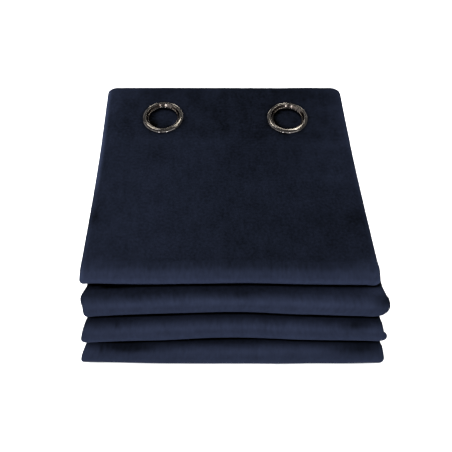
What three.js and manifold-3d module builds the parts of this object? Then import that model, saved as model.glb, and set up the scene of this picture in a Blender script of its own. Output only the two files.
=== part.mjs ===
// A velvet blackout curtain with an eyelet heading, folded to lie on a shelf. The cloth is doubled into
// quarters across its width and then folded back and forth along its length, so that four soft folds show
// at the front and the heading lies on top at the back. Millimetres, +Z up, the front folds towards -Y.
import * as THREE from "three";
import { mergeVertices } from "three/addons/utils/BufferGeometryUtils.js";
import Module from "manifold-3d";

const { lerp, clamp, degToRad } = THREE.MathUtils;

// The cloth, and how its plies lie in the pack
const CLOTH_THICK = 2;
const PLY_PITCH = 3.25;
const PLIES = 4;
const LAYERS = 8;
const PIECE_GAP = 0.3;

// Places round a front fold, in degrees of turn from its top, where its two ends are given
const END_TURNS = { shelf: -70, crest: 0, belly: 45, lip: 85, under: 130 };
// Places across a front fold, as shares of its width, where its bow is given
const BOW_SHARES = { left: 0, nearLeft: 0.25, middle: 0.54, nearRight: 0.75, right: 1 };
// Front folds from the top one down. reach is how far a fold's middle stands in front of the start of the
// depths, bow how much further it stands across its width, and left and right how far out its ends stand.
const FRONT_FOLDS = [
  {
    reach: 0.3,
    bow: { left: 0.6, nearLeft: 1.3, middle: 0, nearRight: 1.1, right: 2.6 },
    left: { shelf: 168.4, crest: 168.6, belly: 168.8, lip: 169.6, under: 168 },
    right: { shelf: 169.1, crest: 169.4, belly: 169.4, lip: 169.8, under: 167 },
  },
  {
    reach: 24,
    bow: { left: 5.2, nearLeft: 2, middle: 0, nearRight: 2.9, right: 5.3 },
    left: { shelf: 165.4, crest: 170.4, belly: 167, lip: 166.2, under: 164 },
    right: { shelf: 179.4, crest: 182.1, belly: 182.2, lip: 176.5, under: 162 },
  },
  {
    reach: 44,
    bow: { left: 6.1, nearLeft: 3.5, middle: 0, nearRight: 3.1, right: 4.4 },
    left: { shelf: 164.8, crest: 168.3, belly: 170.5, lip: 171.6, under: 167 },
    right: { shelf: 177.1, crest: 177.8, belly: 178.8, lip: 182.5, under: 173 },
  },
  {
    reach: 66.8,
    bow: { left: -2, nearLeft: -0.8, middle: 0, nearRight: -0.5, right: -0.9 },
    left: { shelf: 165.4, crest: 170.4, belly: 174, lip: 175.8, under: 176 },
    right: { shelf: 179.5, crest: 181, belly: 182, lip: 182.9, under: 181 },
  },
];
// Back ends of the layers from the top down: the heading's edge, three folds and the bottom hem
const BACK_ENDS = [
  { reach: 292.8, left: 177, right: 164.4 },
  { reach: 270, left: 172, right: 167 },
  { reach: 252, left: 169, right: 170 },
  { reach: 237, left: 169, right: 172 },
  { reach: 222, left: 168, right: 173 },
];
// How the sides curve on their way back: straight at 1
const LEFT_EASE = 1.2;
const RIGHT_EASE = 0.7;

// The heading: a band across the cloth's whole width, with rounded corners, that the eyelets lift at the back
const HEADING_DEPTH = 100;
const HEADING_SLOPE = 0.075;
const LIFT_START = 120;
const LEFT_CORNER_RADIUS = 11;
const RIGHT_CORNER_RADIUS = 16;

// The eyelets: the two on the top ply, each a domed face with a barrel and a flat ring behind the cloth
const EYELETS = [
  { name: "left", x: -92, toEdge: 58.3 },
  { name: "right", x: 81, toEdge: 59.6 },
];
const EYELET_BORE = 40;
const EYELET_OUTER = 57;
const EYELET_RIM = 0.5;
const CROWN_DIAMETER = 47;
const CROWN_HEIGHT = 3.8;
const CROWN_EDGE = 0.8;
const THROAT_LEAN = 29;
const BARREL_WALL = 1.1;
const BARREL_DEPTH = 3.8;
const BACK_RING_OUTER = 54;
const BACK_RING_THICK = 1.2;
const BACK_RING_CHAMFER = 0.5;

// How finely the shapes are cut
const FRONT_STEPS = 8;
const BACK_STEPS = 5;
const SIDE_STEPS = 4;
const PANEL_PLY_STEPS = { top: 6, hidden: 3 };
const BAND_PLY_STEPS = { top: 14, hidden: 8 };
const RUN_STOPS = [6, 14, 110];
const TOP_RUN_STOPS = [6, 14, 60, 120, 145, 168];
const BAND_STOPS = [0, 0.35, 0.7, 0.88, 1];
const RING_SIDES = 32;
const DOME_STEPS = 5;

const VELVET = { color: 0x1b2133, roughness: 0.95, metalness: 0 };
const EYELET_METAL = { color: 0x7f766b, roughness: 0.25, metalness: 1 };

// Sizes that follow
const BUNDLE = PLIES * PLY_PITCH;
const TURN_RADIUS = BUNDLE / 2;
const OUTER_PLY = ((PLIES - 1) / 2) * PLY_PITCH;
const LEFT_INSET = PLY_PITCH / 2 + CLOTH_THICK / 2;
const RIGHT_INSET = OUTER_PLY + CLOTH_THICK / 2;
const TURN_PER_MM = 180 / Math.PI / (TURN_RADIUS + OUTER_PLY);
const HEADING = BACK_ENDS[0];
const SEAM = HEADING.reach - HEADING_DEPTH;
const layerHeight = (layer) => CLOTH_THICK / 2 + OUTER_PLY + BUNDLE * (LAYERS - layer);

// Shares from 0 to 1 that crowd towards both ends
function easedShares(steps) {
  return Array.from({ length: steps + 1 }, (_, i) => (1 - Math.cos((Math.PI * i) / steps)) / 2);
}

// Columns run across the cloth: four plies joined by three side turns. A column stands at a share of the
// pack's width, shifted sideways in a turn, at an offset from the middle of its layer. faceX and faceOut give
// the way that the cloth's pile side looks.
function clothColumns(steps) {
  const columns = [];
  function addPly(offset, leftToRight, faceOut, count) {
    for (const share of easedShares(count)) {
      columns.push({ share: leftToRight ? share : 1 - share, shift: 0, offset, faceX: 0, faceOut });
    }
  }
  function addTurn(share, middle, radius, from, to, face) {
    for (let i = 1; i < SIDE_STEPS; i++) {
      const angle = degToRad(lerp(from, to, i / SIDE_STEPS));
      columns.push({
        share,
        shift: radius * Math.cos(angle),
        offset: middle + radius * Math.sin(angle),
        faceX: face * Math.cos(angle),
        faceOut: face * Math.sin(angle),
      });
    }
  }
  const half = PLY_PITCH / 2;
  addPly(-OUTER_PLY, true, -1, steps.hidden);
  addTurn(1, 0, OUTER_PLY, -90, 90, 1);
  addPly(OUTER_PLY, false, 1, steps.top);
  addTurn(0, PLY_PITCH, half, 90, 270, 1);
  addPly(half, true, -1, steps.hidden);
  addTurn(1, 0, half, 90, -90, -1);
  addPly(-half, false, 1, steps.hidden);
  return columns;
}

// A smooth curve through a row of a table, whose columns stand at the given places
function curveAt(places, row, at) {
  return new THREE.CubicInterpolant(Object.values(places), Object.values(row), 1).evaluate(at)[0];
}

// The pack's two sides at a row: turn is its place round the front fold, share its place on the way back
function sidesAt(front, back, turn, share) {
  return {
    left: -lerp(curveAt(END_TURNS, front.left, turn), back.left, share ** LEFT_EASE),
    right: lerp(curveAt(END_TURNS, front.right, turn), back.right, share ** RIGHT_EASE),
  };
}

// Rows run along the cloth. A row holds the middle of its layer, the way the plies are stacked from there,
// the pack's sides, and the bow of its front fold with the share of it that is left there.
function runRow(layer, distance) {
  const front = FRONT_FOLDS[Math.ceil(layer / 2) - 1];
  const back = BACK_ENDS[Math.floor(layer / 2)];
  const share = distance / (front.reach + back.reach);
  const facesUp = layer % 2 === 1;
  const turn = facesUp ? -distance * TURN_PER_MM : 180 + distance * TURN_PER_MM;
  return {
    y: distance - front.reach,
    z: layerHeight(layer),
    outY: 0,
    outZ: facesUp ? 1 : -1,
    bow: front.bow,
    bowShare: 1 - share,
    lifts: layer === 1,
    corner: 0,
    ...sidesAt(front, back, turn, share),
  };
}

function frontTurnRow(layer, turn) {
  const front = FRONT_FOLDS[Math.ceil(layer / 2) - 1];
  const angle = degToRad(turn);
  const middle = (layerHeight(layer) + layerHeight(layer + 1)) / 2;
  return {
    y: -front.reach - TURN_RADIUS * Math.sin(angle),
    z: middle + TURN_RADIUS * Math.cos(angle),
    outY: -Math.sin(angle),
    outZ: Math.cos(angle),
    bow: front.bow,
    bowShare: 1,
    lifts: false,
    corner: 0,
    ...sidesAt(front, HEADING, turn, 0),
  };
}

function backTurnRow(layer, turn) {
  const back = BACK_ENDS[Math.floor(layer / 2)];
  const angle = degToRad(turn);
  const middle = (layerHeight(layer) + layerHeight(layer + 1)) / 2;
  return {
    y: back.reach + TURN_RADIUS * Math.sin(angle),
    z: middle + TURN_RADIUS * Math.cos(angle),
    outY: -Math.sin(angle),
    outZ: -Math.cos(angle),
    bow: FRONT_FOLDS[0].bow,
    bowShare: 0,
    lifts: false,
    corner: 0,
    left: -back.left,
    right: back.right,
  };
}

// The panel's rows, from the seam under the heading down to the bottom hem
function panelRows() {
  const rows = [runRow(1, SEAM)];
  for (let layer = 1; layer <= LAYERS; layer++) {
    const front = FRONT_FOLDS[Math.ceil(layer / 2) - 1];
    const back = BACK_ENDS[Math.floor(layer / 2)];
    const length = front.reach + back.reach;
    const stops = layer === 1 ? TOP_RUN_STOPS : RUN_STOPS;
    const run = stops.map((distance) => runRow(layer, distance));
    if (layer % 2 === 1) {
      rows.push(...run.reverse());
      for (let i = 0; i <= FRONT_STEPS; i++) {
        rows.push(frontTurnRow(layer, (180 * i) / FRONT_STEPS));
      }
    } else if (layer < LAYERS) {
      rows.push(...run);
      for (let i = 0; i <= BACK_STEPS; i++) {
        rows.push(backTurnRow(layer, (180 * i) / BACK_STEPS));
      }
    } else {
      rows.push(...run, runRow(layer, length));
    }
  }
  return rows;
}

// The heading band's rows, from its edge down to the seam
function bandRows() {
  return BAND_STOPS.map((share) => {
    const row = runRow(1, lerp(HEADING.reach, SEAM + PIECE_GAP, share));
    row.corner = 1 - share;
    return row;
  });
}

// How far the heading's top ply stands above the level of the pack
function headingLift(y) {
  if (y < LIFT_START) return 0;
  const bend = SEAM - LIFT_START;
  if (y < SEAM) return (HEADING_SLOPE * (y - LIFT_START) ** 2) / (2 * bend);
  return HEADING_SLOPE * (y - SEAM + bend / 2);
}

// How far a rounded corner draws the heading's edge in at a place across the pack
function cornerCut(x, row) {
  const inLeft = clamp(LEFT_CORNER_RADIUS - (x - row.left), 0, LEFT_CORNER_RADIUS);
  const inRight = clamp(RIGHT_CORNER_RADIUS - (row.right - x), 0, RIGHT_CORNER_RADIUS);
  const left = LEFT_CORNER_RADIUS - Math.sqrt(LEFT_CORNER_RADIUS ** 2 - inLeft ** 2);
  const right = RIGHT_CORNER_RADIUS - Math.sqrt(RIGHT_CORNER_RADIUS ** 2 - inRight ** 2);
  return left + right;
}

// The middle of the cloth where a column crosses a row
function clothPoint(column, row) {
  const x = lerp(row.left + LEFT_INSET, row.right - RIGHT_INSET, column.share) + column.shift;
  const bow = row.bowShare * curveAt(BOW_SHARES, row.bow, column.share);
  const bowed = row.y + row.outY * column.offset - bow;
  const y = bowed - row.corner * cornerCut(x, row);
  const plyShare = (column.offset + OUTER_PLY) / (2 * OUTER_PLY);
  const lift = row.lifts ? headingLift(y) * plyShare : 0;
  return new THREE.Vector3(x, y, row.z + row.outZ * column.offset + lift);
}

// A sheet of cloth: a flat box with a cell between each two columns and rows, laid into the folds
function sheetGeometry(columns, rows) {
  const across = columns.length - 1;
  const along = rows.length - 1;
  const geometry = new THREE.BoxGeometry(across, along, 1, across, along, 1);
  const position = geometry.attributes.position;
  for (let i = 0; i < position.count; i++) {
    const column = columns[Math.round(position.getX(i) + across / 2)];
    const row = rows[Math.round(position.getY(i) + along / 2)];
    const out = Math.sign(position.getZ(i)) * (CLOTH_THICK / 2);
    const face = new THREE.Vector3(column.faceX, row.outY * column.faceOut, row.outZ * column.faceOut);
    const at = clothPoint(column, row).addScaledVector(face, out);
    position.setXYZ(i, at.x, at.y, at.z);
  }
  return geometry;
}

// Cuts one closed geometry out of another
const wasm = await Module();
wasm.setup();

function solidOf(geometry) {
  const bare = geometry.clone();
  bare.deleteAttribute("normal");
  bare.deleteAttribute("uv");
  const merged = mergeVertices(bare, 1e-3);
  const mesh = new wasm.Mesh({
    numProp: 3,
    vertProperties: merged.attributes.position.array,
    triVerts: new Uint32Array(merged.index.array),
  });
  return new wasm.Manifold(mesh);
}

function cutGeometry(body, cutters) {
  let solid = solidOf(body);
  for (const cutter of cutters) {
    solid = solid.subtract(solidOf(cutter));
  }
  const mesh = solid.getMesh();
  const geometry = new THREE.BufferGeometry();
  geometry.setAttribute("position", new THREE.BufferAttribute(mesh.vertProperties, mesh.numProp));
  geometry.setIndex(new THREE.BufferAttribute(mesh.triVerts, 1));
  geometry.computeVertexNormals();
  return geometry;
}

// A ring turned about Z from a closed profile of radius and height
function ringGeometry(profile) {
  const points = profile.map(([radius, height]) => new THREE.Vector2(radius, height));
  points.push(points[0].clone());
  return new THREE.LatheGeometry(points, RING_SIDES).rotateX(Math.PI / 2);
}

// The eyelet's face, from its barrel's foot out under the flange, over the dome to its crown and down the
// leaning wall of its throat; height 0 is the cloth's top
function eyeletFaceGeometry() {
  const bore = EYELET_BORE / 2;
  const outer = EYELET_OUTER / 2;
  const crown = CROWN_DIAMETER / 2;
  const rim = PIECE_GAP + EYELET_RIM;
  const top = PIECE_GAP + CROWN_HEIGHT;
  const profile = [
    [bore, -BARREL_DEPTH],
    [bore + BARREL_WALL, -BARREL_DEPTH],
    [bore + BARREL_WALL, PIECE_GAP],
    [outer, PIECE_GAP],
  ];
  for (let i = 0; i <= DOME_STEPS; i++) {
    const angle = (Math.PI / 2) * (i / DOME_STEPS);
    profile.push([lerp(crown, outer, Math.cos(angle)), lerp(rim, top, Math.sin(angle))]);
  }
  const lean = degToRad(THROAT_LEAN);
  const wallTop = [crown - CROWN_EDGE * Math.cos(lean), top - CROWN_EDGE * (1 - Math.sin(lean))];
  profile.push(wallTop, [bore, wallTop[1] - (wallTop[0] - bore) / Math.tan(lean)]);
  return ringGeometry(profile);
}

// The flat ring that grips the cloth from behind
function eyeletBackGeometry() {
  const inner = EYELET_BORE / 2 + BARREL_WALL + PIECE_GAP;
  const outer = BACK_RING_OUTER / 2;
  const top = -CLOTH_THICK - PIECE_GAP;
  const foot = top - BACK_RING_THICK;
  return ringGeometry([
    [inner, foot],
    [outer - BACK_RING_CHAMFER, foot],
    [outer, foot + BACK_RING_CHAMFER],
    [outer, top],
    [inner, top],
  ]);
}

// The hole that the barrel passes through, cut in the top ply alone
function eyeletHoleGeometry() {
  const radius = EYELET_BORE / 2 + BARREL_WALL + PIECE_GAP;
  const depth = 2 * CLOTH_THICK;
  return new THREE.CylinderGeometry(radius, radius, depth, RING_SIDES)
    .rotateX(Math.PI / 2)
    .translate(0, 0, -CLOTH_THICK / 2);
}

// Where an eyelet sits: on the top ply's upper face, tilted with the heading
function eyeletPlace(eyelet) {
  const place = new THREE.Object3D();
  const y = HEADING.reach - eyelet.toEdge;
  const top = layerHeight(1) + OUTER_PLY + CLOTH_THICK / 2;
  place.position.set(eyelet.x, y, top + headingLift(y));
  place.rotation.x = Math.atan(HEADING_SLOPE);
  place.updateMatrix();
  return place;
}

function namedMesh(name, geometry, finish) {
  const mesh = new THREE.Mesh(geometry, new THREE.MeshStandardMaterial(finish));
  mesh.name = name;
  return mesh;
}

// The folded curtain, set down with the middle of its base at the origin
const curtain = new THREE.Group();
const pack = new THREE.Group();
curtain.add(pack);

pack.add(namedMesh("velvet_panel", sheetGeometry(clothColumns(PANEL_PLY_STEPS), panelRows()), VELVET));

const bandSheet = sheetGeometry(clothColumns(BAND_PLY_STEPS), bandRows());
const holes = EYELETS.map((eyelet) => eyeletHoleGeometry().applyMatrix4(eyeletPlace(eyelet).matrix));
pack.add(namedMesh("heading_band", cutGeometry(bandSheet, holes), VELVET));

for (const eyelet of EYELETS) {
  const place = eyeletPlace(eyelet);
  place.add(namedMesh(`eyelet_face_${eyelet.name}`, eyeletFaceGeometry(), EYELET_METAL));
  place.add(namedMesh(`eyelet_back_${eyelet.name}`, eyeletBackGeometry(), EYELET_METAL));
  pack.add(place);
}

const box = new THREE.Box3().setFromObject(curtain, true);
const middle = box.getCenter(new THREE.Vector3());
pack.position.set(-middle.x, -middle.y, -box.min.z);

export default curtain;
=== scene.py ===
"""Folded velvet curtain with an eyelet heading: its cloth, its eyelets and the stage that it lies on."""
import math
from typing import NamedTuple

import bmesh
import bpy
from bpy.props import FloatProperty, FloatVectorProperty, IntProperty, PointerProperty
from mathutils import Euler, Matrix, Vector, noise


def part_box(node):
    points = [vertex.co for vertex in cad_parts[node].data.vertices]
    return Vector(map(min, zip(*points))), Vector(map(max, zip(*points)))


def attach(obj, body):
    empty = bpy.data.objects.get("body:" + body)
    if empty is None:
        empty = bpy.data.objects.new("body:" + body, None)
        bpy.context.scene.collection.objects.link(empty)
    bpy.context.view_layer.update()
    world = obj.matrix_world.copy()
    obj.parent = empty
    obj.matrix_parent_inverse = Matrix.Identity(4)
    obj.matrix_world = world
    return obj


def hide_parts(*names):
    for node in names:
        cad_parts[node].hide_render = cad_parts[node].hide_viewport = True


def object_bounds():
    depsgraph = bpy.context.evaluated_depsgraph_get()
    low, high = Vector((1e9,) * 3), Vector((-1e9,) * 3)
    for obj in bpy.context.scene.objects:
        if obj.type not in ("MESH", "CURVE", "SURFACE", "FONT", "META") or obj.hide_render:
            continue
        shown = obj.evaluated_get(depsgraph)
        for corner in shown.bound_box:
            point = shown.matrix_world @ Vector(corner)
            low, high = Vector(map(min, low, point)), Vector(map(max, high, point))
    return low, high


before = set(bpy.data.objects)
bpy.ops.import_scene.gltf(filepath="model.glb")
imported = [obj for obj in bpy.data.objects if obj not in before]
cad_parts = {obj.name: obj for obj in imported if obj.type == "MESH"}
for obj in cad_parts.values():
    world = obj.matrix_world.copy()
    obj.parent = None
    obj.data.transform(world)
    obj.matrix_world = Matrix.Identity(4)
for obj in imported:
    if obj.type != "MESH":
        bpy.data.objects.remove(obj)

bl_info = {
    "name": "Folded velvet curtain",
    "version": (1, 0, 0),
    "blender": (4, 5, 0),
    "location": "View3D > Sidebar > Curtain",
    "description": "Makes a velvet eyelet curtain that lies folded, with its stage",
    "category": "Object",
}

CAD_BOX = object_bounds()


class Ends(NamedTuple):
    """How far out one end of a front fold stands, at five places round it."""

    shelf: float
    crest: float
    belly: float
    lip: float
    under: float


class Bow(NamedTuple):
    """How much further a front fold stands out, at five places across it."""

    left: float
    near_left: float
    middle: float
    near_right: float
    right: float


class FrontFold(NamedTuple):
    """A front fold, in metres: how far its middle stands out, its bow across, and where its two ends lie."""

    reach: float
    bow: Bow
    left: Ends
    right: Ends


class BackEnd(NamedTuple):
    """The back end of a layer: how far back it reaches, and the pack's sides there."""

    reach: float
    left: float
    right: float


class Mark(NamedTuple):
    """A soft mark on the outer ply, in metres: pile that lies another way there, painted shade close under
    the fold above, or a crease pressed into it.

    along runs from the crest of the mark's fold: down over the front above zero, back over the flat below it.
    """

    across: float
    along: float
    wide: float
    deep: float
    nap: float
    slant: float = 0.0
    depth: float = 0.0


class NapAndShadingStep(NamedTuple):
    """A rise or a fall of the nap between two places."""

    start: float
    end: float
    nap: float


END_TURNS = Ends(-70, 0, 45, 85, 130)
BOW_SHARES = Bow(0, 0.25, 0.54, 0.75, 1)
FRONT_FOLDS = (
    FrontFold(
        reach=0.0003,
        bow=Bow(0.0006, 0.0013, 0.0, 0.0011, 0.0026),
        left=Ends(0.1684, 0.1686, 0.1688, 0.1696, 0.1680),
        right=Ends(0.1691, 0.1694, 0.1694, 0.1698, 0.1670),
    ),
    FrontFold(
        reach=0.0240,
        bow=Bow(0.0052, 0.0020, 0.0, 0.0029, 0.0053),
        left=Ends(0.1654, 0.1704, 0.1670, 0.1662, 0.1640),
        right=Ends(0.1794, 0.1821, 0.1822, 0.1765, 0.1620),
    ),
    FrontFold(
        reach=0.0440,
        bow=Bow(0.0061, 0.0035, 0.0, 0.0031, 0.0044),
        left=Ends(0.1648, 0.1683, 0.1705, 0.1716, 0.1670),
        right=Ends(0.1771, 0.1778, 0.1788, 0.1825, 0.1730),
    ),
    FrontFold(
        reach=0.0668,
        bow=Bow(-0.0020, -0.0008, 0.0, -0.0005, -0.0009),
        left=Ends(0.1654, 0.1704, 0.1740, 0.1758, 0.1760),
        right=Ends(0.1795, 0.1810, 0.1820, 0.1829, 0.1810),
    ),
)
BACK_ENDS = (
    BackEnd(0.2928, 0.1770, 0.1644),
    BackEnd(0.270, 0.1720, 0.1670),
    BackEnd(0.252, 0.1690, 0.1700),
    BackEnd(0.237, 0.1690, 0.1720),
    BackEnd(0.222, 0.1680, 0.1730),
)
LEFT_EASE = 1.2
RIGHT_EASE = 0.7
# How far the pile stands round each front fold, by its turn; the large values towards the lower lip are
# painted light where the lamps overhead don't reach.
NAP_TURNS = tuple(range(-20, 100, 10))
FOLD_NAPS_AND_LIGHT = (
    (0.00, 0.03, 0.10, 0.12, 0.25, 0.46, 0.66, 0.76, 0.92, 1.34, 1.90, 2.23),
    (0.00, 0.00, 0.06, 0.25, 0.50, 0.84, 1.09, 1.04, 0.93, 1.17, 1.41, 1.65),
    (0.00, 0.00, 0.09, 0.30, 0.54, 0.84, 0.94, 0.84, 0.94, 1.22, 1.53, 1.75),
    (0.00, 0.06, 0.25, 0.50, 0.72, 0.84, 0.72, 0.74, 0.84, 1.07, 1.33, 1.50),
)
TOP_NAP = 0.09
LOWER_NAP = 0.16
BACK_NAP = 0.3
# Painted light on the back turns, strongest at their rearmost line, where the lamps barely reach.
BACK_TURN_PAINTED_LIGHT = 1.3
# Painted light: the top grows lighter towards its left side.
PAINTED_LIGHT_ACROSS = (NapAndShadingStep(0.030, -0.130, 0.07), NapAndShadingStep(-0.001, -0.013, 0.035))
HEADING_STEP = NapAndShadingStep(-0.010, 0.010, -0.10)
SEAM_STEPS = (NapAndShadingStep(-0.024, -0.010, 0.05), NapAndShadingStep(-0.010, 0.004, -0.05))
# Painted sheen along the top's left and right rims; on the left it grows stronger towards the heading.
PAINTED_LEFT_SHEEN = NapAndShadingStep(0.009, 0.0, 0.6)
PAINTED_LEFT_SHEEN_GAIN = NapAndShadingStep(0.100, 0.130, 2.3)
PAINTED_RIGHT_SHEEN = NapAndShadingStep(0.010, 0.0, 0.42)
# On the lower folds the darkening marks lie close under the fold above and are painted shade; on the top fold
# they are pile that lies another way.
MARKS = {
    0: (
        Mark(-0.13, -0.04, 0.06, 0.055, 0.05),
        Mark(-0.11, -0.13, 0.06, 0.05, 0.03),
        Mark(0.114, -0.06, 0.026, 0.024, -0.07, slant=20),
        Mark(0.056, -0.172, 0.045, 0.02, -0.07),
        Mark(-0.088, -0.166, 0.022, 0.018, -0.07),
        Mark(0.01, -0.148, 0.018, 0.016, -0.05),
        Mark(0.135, -0.235, 0.036, 0.045, 0.1),
        Mark(0.168, -0.002, 0.01, 0.014, 0.25),
        Mark(0.081, -0.2275, 0.014, 0.014, 0.12),
        Mark(-0.155, 0.0, 0.024, 0.007, 0.12),
        Mark(0.152, 0.001, 0.016, 0.009, 0.22),
        Mark(-0.115, -0.186, 0.045, 0.01, -0.07),
        Mark(0.138, -0.168, 0.032, 0.04, 0.12),
        Mark(0.164, -0.222, 0.013, 0.042, 0.5),
        Mark(0.15, -0.284, 0.016, 0.012, 0.22),
        Mark(0.168, -0.128, 0.009, 0.026, 0.32),
        Mark(0.152, -0.064, 0.014, 0.009, -0.15),
        Mark(-0.164, -0.255, 0.012, 0.042, 0.22),
        Mark(-0.166, -0.062, 0.011, 0.011, -0.36),
        Mark(-0.15, -0.285, 0.032, 0.016, 0.14),
        Mark(0.146, -0.126, 0.02, 0.016, 0.14),
        Mark(0.085, -0.106, 0.045, 0.03, 0.05),
    ),
    1: (
        Mark(-0.132, -0.01, 0.026, 0.0028, -3.2),
        Mark(-0.105, 0.001, 0.028, 0.005, -0.45),
        Mark(0.01, 0.001, 0.024, 0.005, -0.54),
        Mark(0.122, -0.003, 0.055, 0.0058, 0.27),
        Mark(0.166, -0.007, 0.014, 0.007, 0.5),
        Mark(0.176, 0.003, 0.012, 0.0065, -0.85),
        Mark(-0.15, 0.006, 0.012, 0.0055, -0.14),
        Mark(-0.012, 0.005, 0.01, 0.0018, 0.0, slant=14, depth=0.0006),
        Mark(0.006, 0.006, 0.008, 0.0018, 0.0, slant=-18, depth=0.0006),
    ),
    2: (
        Mark(0.147, 0.0028, 0.019, 0.0045, -0.95, slant=-4),
        Mark(0.085, 0.0, 0.03, 0.006, 0.17),
        Mark(-0.045, 0.001, 0.03, 0.006, 0.12),
        Mark(-0.13, 0.0, 0.026, 0.0045, -0.24),
        Mark(-0.095, -0.001, 0.045, 0.0055, 0.14),
        Mark(-0.152, 0.004, 0.016, 0.0075, -0.24),
        Mark(0.048, -0.003, 0.022, 0.0045, -0.2),
        Mark(-0.13, 0.002, 0.005, 0.002, -0.4, slant=70, depth=0.0009),
    ),
    3: (
        Mark(-0.118, 0.0026, 0.034, 0.0052, -1.25),
        Mark(-0.095, 0.0086, 0.055, 0.003, 0.2),
        Mark(-0.03, -0.004, 0.06, 0.0035, -0.4),
        Mark(-0.02, -0.007, 0.1, 0.0025, -1.2),
        Mark(0.06, 0.0, 0.05, 0.005, 0.12),
        Mark(0.156, 0.003, 0.023, 0.006, -1.05),
        Mark(0.126, 0.0042, 0.014, 0.0032, -0.4),
        Mark(0.158, -0.0038, 0.022, 0.0022, -1.6),
        Mark(-0.151, 0.003, 0.006, 0.0022, -0.5, slant=80, depth=0.0012),
    ),
}
EYELET_PLACES = {"left": (-0.0920, 0.0583), "right": (0.0810, 0.0596)}

PLIES = 4
LAYERS = 8
HEADING = BACK_ENDS[0]
AT_THE_BACK = -1


class ClothSettings(bpy.types.PropertyGroup):
    """Sizes of the velvet and of the way it is folded."""

    thick: FloatProperty(name="Thickness", description="Velvet with its pile", default=0.002, unit="LENGTH")
    ply_pitch: FloatProperty(
        name="Ply pitch", description="From one ply's middle to the next", default=0.00325, unit="LENGTH")
    panel_width: FloatProperty(
        name="Panel width", description="The cloth's width before folding", default=1.34, unit="LENGTH")
    panel_drop: FloatProperty(
        name="Panel drop", description="The cloth's length before folding", default=2.44, unit="LENGTH")
    heading_depth: FloatProperty(
        name="Heading depth", description="From the top edge to the seam", default=0.100, unit="LENGTH")
    heading_slope: FloatProperty(
        name="Heading slope", description="Rise of the heading over its run", default=0.075)
    lift_start: FloatProperty(
        name="Lift start", description="Where the top ply starts to rise", default=0.120, unit="LENGTH")
    heading_swell: FloatProperty(
        name="Heading swell", description="Extra height of the turned-over heading",
        default=0.0006, unit="LENGTH")
    left_corner: FloatProperty(
        name="Left corner", description="Radius of the heading's left corner", default=0.011, unit="LENGTH")
    right_corner: FloatProperty(
        name="Right corner", description="Radius of the heading's right corner", default=0.016, unit="LENGTH")
    crest: FloatProperty(
        name="Crest", description="How much further back the top of a front fold starts to bend",
        default=0.006, unit="LENGTH")
    shoulder: FloatProperty(
        name="Shoulder", description="How far in from its sides the pack rounds off",
        default=0.018, unit="LENGTH")
    droop: FloatProperty(
        name="Droop", description="Share of its height that the pack loses at its sides",
        default=0.03, min=0.0, max=1.0, subtype="FACTOR")
    unevenness: FloatProperty(
        name="Unevenness", description="Height of the broad waves in the cloth",
        default=0.0006, unit="LENGTH")
    wave: FloatProperty(name="Wave", description="Size of the broad waves", default=0.055, unit="LENGTH")


class EyeletSettings(bpy.types.PropertyGroup):
    """Sizes and metal of an eyelet: a domed face with a barrel, and a flat ring behind the cloth."""

    bore: FloatProperty(name="Bore", description="Inner diameter", default=0.040, unit="LENGTH")
    outer: FloatProperty(name="Outer", description="Outer diameter", default=0.0570, unit="LENGTH")
    crown: FloatProperty(name="Crown", description="Height of the dome", default=0.0038, unit="LENGTH")
    crown_diameter: FloatProperty(
        name="Crown diameter", description="Diameter of the highest line", default=0.0470, unit="LENGTH")
    crown_edge: FloatProperty(
        name="Crown edge", description="Radius between the dome and the throat",
        default=0.0008, unit="LENGTH")
    throat_lean: FloatProperty(
        name="Throat lean", description="How far the throat's wall leans from upright",
        default=math.radians(29), subtype="ANGLE")
    bead: FloatProperty(
        name="Bead", description="Radius of the bore's rolled edge", default=0.0007, unit="LENGTH")
    rim: FloatProperty(name="Rim", description="Height of the flange's edge", default=0.0005, unit="LENGTH")
    seat: FloatProperty(name="Seat", description="Gap to the cloth", default=0.0003, unit="LENGTH")
    barrel_wall: FloatProperty(
        name="Barrel wall", description="Thickness of the barrel", default=0.0011, unit="LENGTH")
    barrel_depth: FloatProperty(
        name="Barrel depth", description="Reach of the barrel below the cloth's face",
        default=0.0038, unit="LENGTH")
    back_outer: FloatProperty(
        name="Back ring", description="Diameter of the ring behind the cloth", default=0.054, unit="LENGTH")
    back_thick: FloatProperty(
        name="Back ring thickness", description="Thickness of that ring", default=0.0012, unit="LENGTH")
    back_ease: FloatProperty(
        name="Back ring edge", description="Bevel of that ring's foot", default=0.0005, unit="LENGTH")
    sides: IntProperty(name="Sides", description="Steps round a ring", default=240, min=16)
    # The two ends of the eyelets' colour: the dark one carries painted shade in the throat, the light one the
    # outer rim's painted highlight.
    metal: FloatVectorProperty(
        name="Metal", description="Colour of the dull metal", subtype="COLOR", size=4,
        default=(0.085, 0.066, 0.052, 1.0))
    rubbed_and_lit: FloatVectorProperty(
        name="Rubbed metal", description="Colour of the metal that is rubbed bright", subtype="COLOR", size=4,
        default=(0.60, 0.58, 0.54, 1.0))
    roughness: FloatProperty(
        name="Roughness", description="Roughness of the metal between its smears",
        default=0.14, min=0.0, max=1.0, subtype="FACTOR")


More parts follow.
